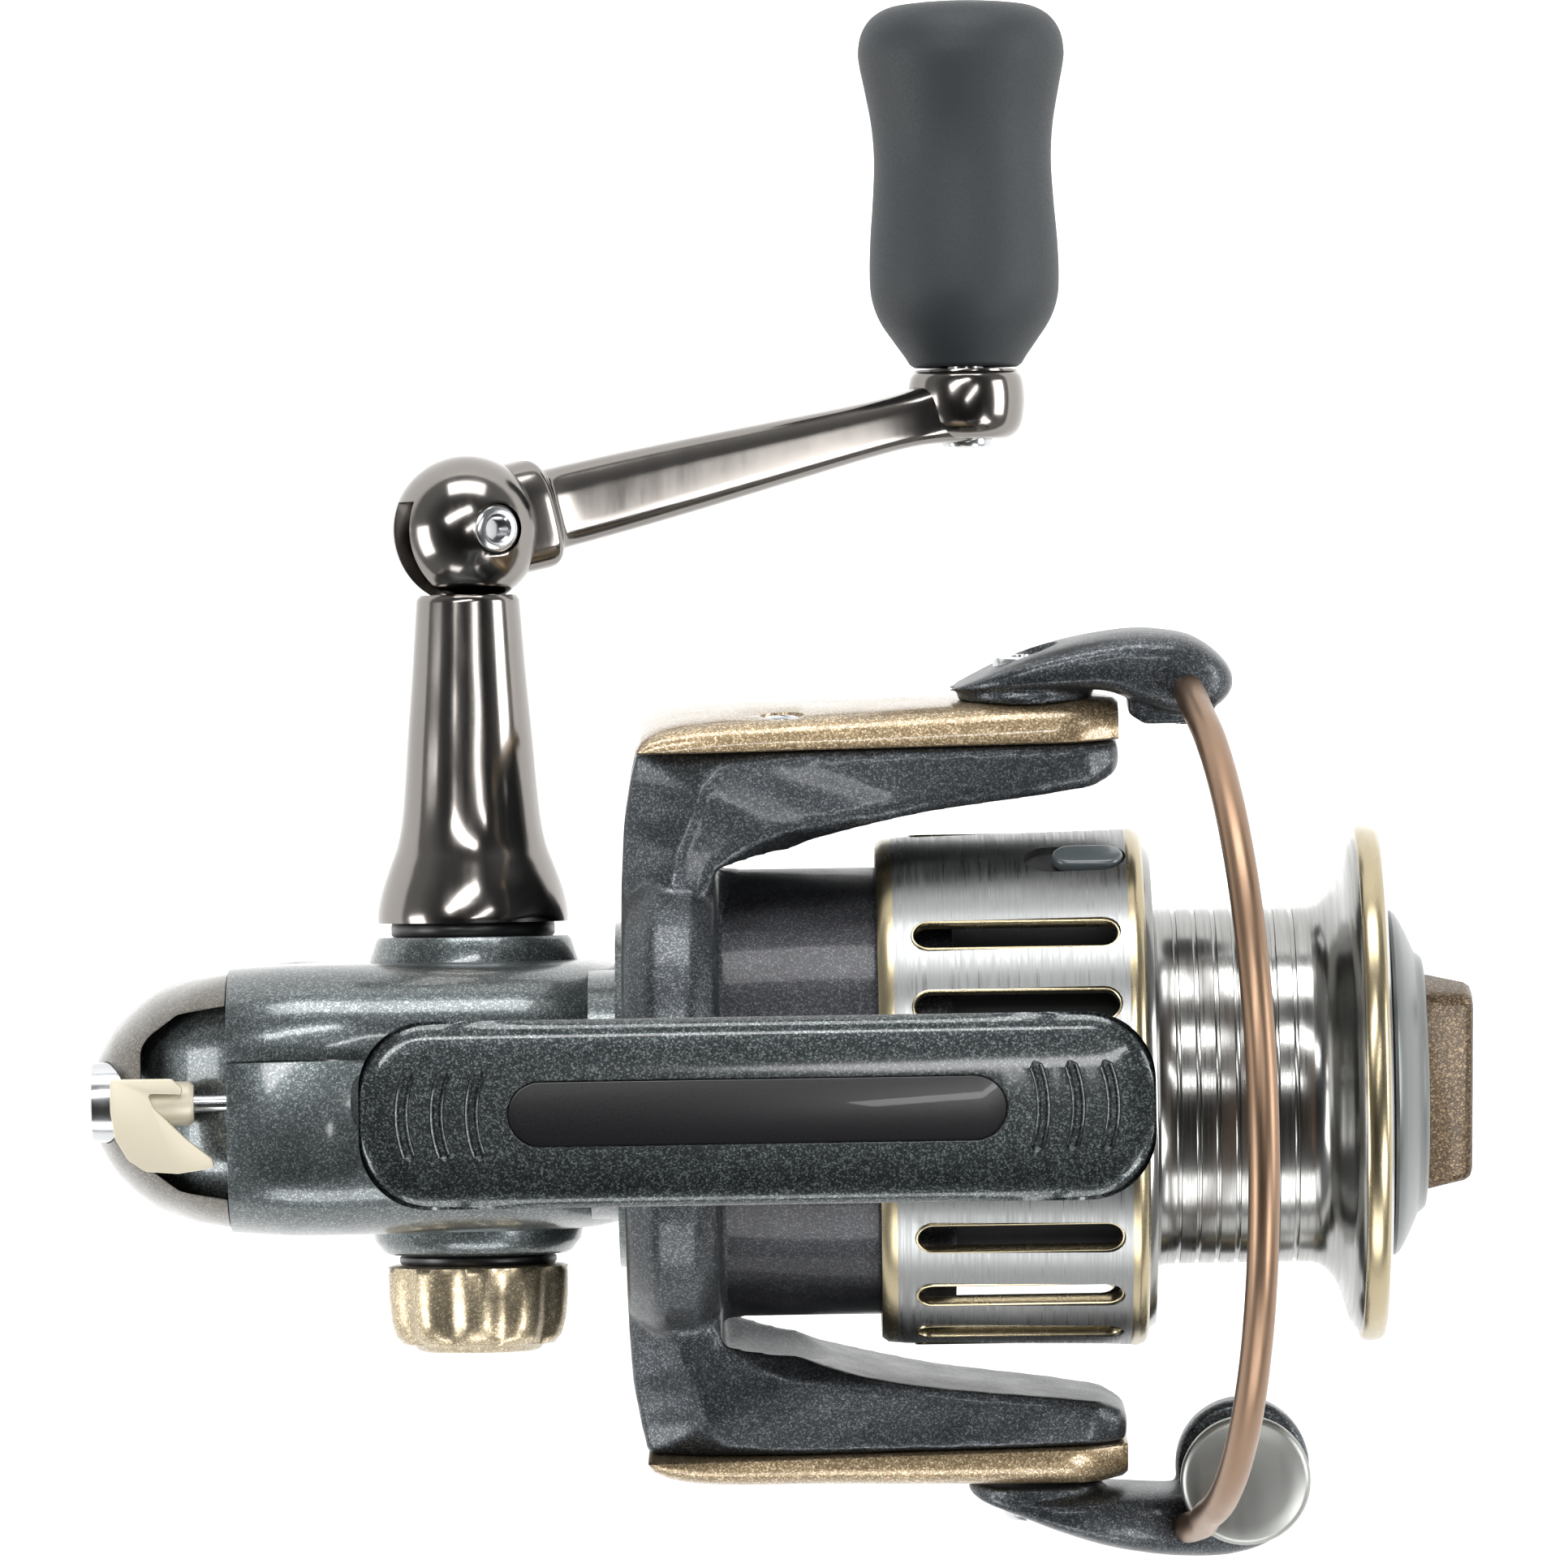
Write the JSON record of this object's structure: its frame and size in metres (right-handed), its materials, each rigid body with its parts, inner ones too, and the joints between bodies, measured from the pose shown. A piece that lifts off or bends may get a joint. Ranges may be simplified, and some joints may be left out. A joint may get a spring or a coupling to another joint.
{
  "type": "fishing reel",
  "caption": "Open-face spinning reel with folding crank, coupled rotor and bail, oscillating spool and front drag knob, for a rod's reel seat.",
  "frame": {"origin": "centre of the foot's flat seat, where it meets the rod", "axes": "+Z out of the seat towards the rod, +X forward along the rod to the spool's nose, +Y to the crank side"},
  "size_m": [0.1065, 0.1222, 0.094],
  "materials": {
    "case_grey": "metallic flake lacquer",
    "rotor_dark": "metallic flake lacquer",
    "label_black": "gloss",
    "bronze": "satin metallic lacquer",
    "champagne": "anodised satin",
    "gunmetal": "polished, smoked",
    "steel": "ground",
    "brass": "machined",
    "alloy": "bright machined",
    "spool_metal": "polished",
    "skirt_metal": "turned, satin",
    "gold_ring": "anodised gold",
    "soft_grip": "soft-touch matt",
    "black_plastic": "moulded",
    "seal_rubber": "matt",
    "felt": "oiled felt",
    "wire_copper": "anodised satin copper",
    "knob_satin": "satin",
    "wing_bronze": "metallic flake lacquer",
    "acetal": "moulded",
    "cap_disc": "polished dark"
  },
  "bodies": {
    "frame": {"housing": "case_grey", "foot_label": "label_black", "side_cover": "case_grey", "rear_cap": "bronze", "rear_eyelet": "steel", "cover_screws": "steel", "crank_bearing_cups": "steel", "pinion_bearing_cup": "steel", "pinion_bush": "brass", "one_way_clutch": "steel", "clutch_retainer": "alloy", "guide_rod": "steel"},
    "gear_train": {"drive_gear": "brass", "gear_shaft": "steel", "crank_bearing_cones": "steel", "handle_shaft": "steel", "handle_sleeve": "gunmetal", "handle_seal": "seal_rubber", "screw_cap": "champagne", "cap_seal": "seal_rubber"},
    "crank": {"crank_arm": "gunmetal", "hinge_screw": "steel", "knob_spindle": "steel"},
    "knob": {"knob_grip": "soft_grip", "knob_bushes": "acetal", "knob_cap": "soft_grip"},
    "rotor_group": {"rotor": "rotor_dark", "pinion_gear": "brass", "pinion_bearing_cone": "steel", "clutch_sleeve": "steel", "rotor_nut": "steel", "arm_cover_left": "bronze", "arm_cover_right": "bronze", "arm_cover_screws": "steel", "bail_spring": "steel", "spring_rod": "steel"},
    "trip": {"trip_rod": "steel"},
    "bail": {"bail_arm": "rotor_dark", "roller_arm": "rotor_dark", "bail_wire": "wire_copper", "bail_screws": "steel", "roller_cap": "cap_disc", "roller_screw": "steel"},
    "roller": {"line_roller": "gold_ring"},
    "osc_gear": {"oscillation_gear": "acetal"},
    "shaft_group": {"main_shaft": "steel", "oscillation_slider": "alloy", "click_gear": "steel", "keyed_washers": "steel"},
    "spool_group": {"spool": "spool_metal", "spool_skirt": "skirt_metal", "lip_ring": "gold_ring", "line_clip": "black_plastic", "spool_bush": "brass", "felt_washers": "felt"},
    "drag_carriage": {"drag_plate": "steel", "drag_spring": "steel"},
    "drag_control": {"drag_knob": "knob_satin", "drag_wing": "wing_bronze"},
    "anti_reverse": {"anti_reverse_lever": "champagne"}
  },
  "joints": [
    {"name": "crank_turn", "type": "hinge", "parent": "frame", "child": "gear_train", "pos_m": [-0.022, 0, -0.065], "axis": [0, 1, 0], "continuous": true},
    {"name": "crank_fold", "type": "hinge", "parent": "gear_train", "child": "crank", "pos_m": [-0.022, 0.0438, -0.065], "axis": [0.4695, 0, 0.8829], "range_deg": [0, 90]},
    {"name": "knob_spin", "type": "hinge", "parent": "crank", "child": "knob", "pos_m": [0.0172, 0.06, -0.08585], "axis": [0, 1, 0], "continuous": true},
    {"name": "rotor_turn", "type": "hinge", "parent": "frame", "child": "rotor_group", "pos_m": [0, 0, -0.058], "axis": [1, 0, 0], "continuous": true},
    {"name": "bail_swing", "type": "hinge", "parent": "rotor_group", "child": "bail", "pos_m": [0.0209, 0, -0.058], "axis": [0, 0.9945, 0.1045], "range_deg": [0, 95]},
    {"name": "trip_slide", "type": "slide", "parent": "rotor_group", "child": "trip", "axis": [-1, 0, 0], "range_m": [0, 0.0022]},
    {"name": "line_roller_spin", "type": "hinge", "parent": "bail", "child": "roller", "pos_m": [0.037, -0.03003, -0.06116], "axis": [0, -0.1045, 0.9945], "continuous": true},
    {"name": "oscillation_turn", "type": "hinge", "parent": "frame", "child": "osc_gear", "pos_m": [-0.03358, 0, -0.069], "axis": [0, 1, 0], "continuous": true},
    {"name": "spool_stroke", "type": "slide", "parent": "frame", "child": "shaft_group", "axis": [1, 0, 0], "range_m": [-0.0114, 0]},
    {"name": "spool_spin", "type": "hinge", "parent": "shaft_group", "child": "spool_group", "pos_m": [0, 0, -0.058], "axis": [1, 0, 0], "continuous": true},
    {"name": "drag_travel", "type": "slide", "parent": "shaft_group", "child": "drag_carriage", "axis": [1, 0, 0], "range_m": [0, 0.001]},
    {"name": "drag_turn", "type": "hinge", "parent": "drag_carriage", "child": "drag_control", "pos_m": [0.052, 0, -0.058], "axis": [1, 0, 0], "range_deg": [0, 720]},
    {"name": "anti_reverse_switch", "type": "hinge", "parent": "frame", "child": "anti_reverse", "pos_m": [-0.046, 0, -0.0503], "axis": [1, 0, 0], "range_deg": [-25, 0]}
  ],
  "couplings": [
    {"joint": "rotor_turn", "follows": "crank_turn", "ratio": -5.1429},
    {"joint": "oscillation_turn", "follows": "crank_turn", "ratio": -0.44118},
    {"joint": "trip_slide", "follows": "bail_swing", "m_per_rad": 0.0012},
    {"joint": "drag_travel", "follows": "drag_turn", "m_per_rad": 0.000079577}
  ]
}
